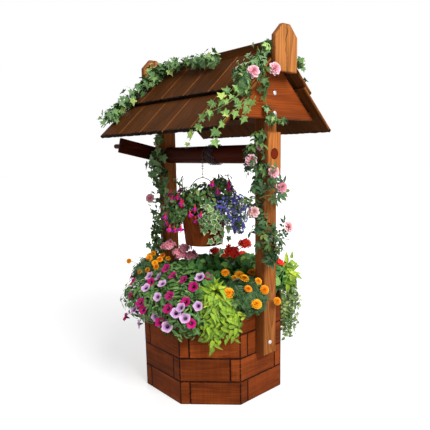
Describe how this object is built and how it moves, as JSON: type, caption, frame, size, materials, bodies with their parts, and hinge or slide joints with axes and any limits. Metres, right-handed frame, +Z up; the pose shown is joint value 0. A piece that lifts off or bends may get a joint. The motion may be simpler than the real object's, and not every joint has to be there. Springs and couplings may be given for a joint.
{
  "type": "wishing well planter",
  "caption": "Octagonal wooden wishing well planter with a gabled roof on posts, and a crank windlass that raises a planted tub on a chain.",
  "frame": {"origin": "middle of the well's floor panel, on the ground", "axes": "+X along the ridge to the near gable, away from the crank; +Z up"},
  "size_m": [1.2099, 0.9904, 2.041],
  "materials": {
    "wall_wood": "stained, weathered",
    "post_wood": "stained",
    "gable_wood": "stained",
    "picket_wood": "stained",
    "roof_wood": "dark stain",
    "windlass_wood": "dark red stain",
    "tub_wood": "stained",
    "bolt_steel": "zinc plated",
    "chain_steel": "dark, satin",
    "potting_soil": "loose bark-based compost",
    "leaves": "soft foliage and flowers"
  },
  "bodies": {
    "well": {"bearing_board_far": "post_wood", "bearing_board_near": "post_wood", "eave_batten_left": "roof_wood", "eave_batten_right": "roof_wood", "floor_panel": "wall_wood", "foot_bolt_far": "bolt_steel", "foot_bolt_near": "bolt_steel", "gable_board_far": "gable_wood", "gable_board_near": "gable_wood", "gable_bolt_lower_far": "bolt_steel", "gable_bolt_lower_near": "bolt_steel", "gable_bolt_upper_far": "bolt_steel", "gable_bolt_upper_near": "bolt_steel", "gable_rose": "leaves", "lap_batten_left": "roof_wood", "lap_batten_right": "roof_wood", "picket_far": "picket_wood", "picket_near": "picket_wood", "post_far": "post_wood", "post_ivy_far": "leaves", "post_near": "post_wood", "post_rose_near": "leaves", "ridge_board": "roof_wood", "ridge_ivy": "leaves", "roof_lower_left_1": "roof_wood", "roof_lower_left_2": "roof_wood", "roof_lower_left_3": "roof_wood", "roof_lower_left_4": "roof_wood", "roof_lower_left_5": "roof_wood", "roof_lower_right_1": "roof_wood", "roof_lower_right_2": "roof_wood", "roof_lower_right_3": "roof_wood", "roof_lower_right_4": "roof_wood", "roof_lower_right_5": "roof_wood", "roof_upper_left_1": "roof_wood", "roof_upper_left_2": "roof_wood", "roof_upper_left_3": "roof_wood", "roof_upper_left_4": "roof_wood", "roof_upper_left_5": "roof_wood", "roof_upper_left_6": "roof_wood", "roof_upper_right_1": "roof_wood", "roof_upper_right_2": "roof_wood", "roof_upper_right_3": "roof_wood", "roof_upper_right_4": "roof_wood", "roof_upper_right_5": "roof_wood", "roof_upper_right_6": "roof_wood", "soil_bed": "potting_soil", "wall_course_1": "wall_wood", "wall_course_2": "wall_wood", "wall_course_3": "wall_wood", "wall_course_4": "wall_wood", "well_plants": "leaves"},
    "windlass": {"axle_roller": "windlass_wood", "crank_arm": "windlass_wood", "crank_peg": "windlass_wood", "chain_winding": "chain_steel"},
    "hoist": {"chain_drop": "chain_steel"},
    "bail": {"bail": "chain_steel"},
    "tub": {"tub": "tub_wood", "tub_plants": "leaves"}
  },
  "joints": [
    {"name": "windlass_turn", "type": "hinge", "parent": "well", "child": "windlass", "pos_m": [0, 0, 1.41], "axis": [-1, 0, 0], "range_deg": [0, 52]},
    {"name": "bucket_lift", "type": "slide", "parent": "well", "child": "hoist", "axis": [0, 0, 1], "range_m": [0, 0.053]},
    {"name": "bail_swing", "type": "hinge", "parent": "hoist", "child": "bail", "pos_m": [-0.009, -0.05855, 1.2735], "axis": [0, 1, 0], "range_deg": [-8, 8]},
    {"name": "tub_tilt", "type": "hinge", "parent": "bail", "child": "tub", "pos_m": [-0.009, -0.05855, 1.04], "axis": [1, 0, 0], "range_deg": [-5, 5]}
  ],
  "couplings": [
    {"joint": "bucket_lift", "follows": "windlass_turn", "m_per_rad": 0.0575}
  ]
}
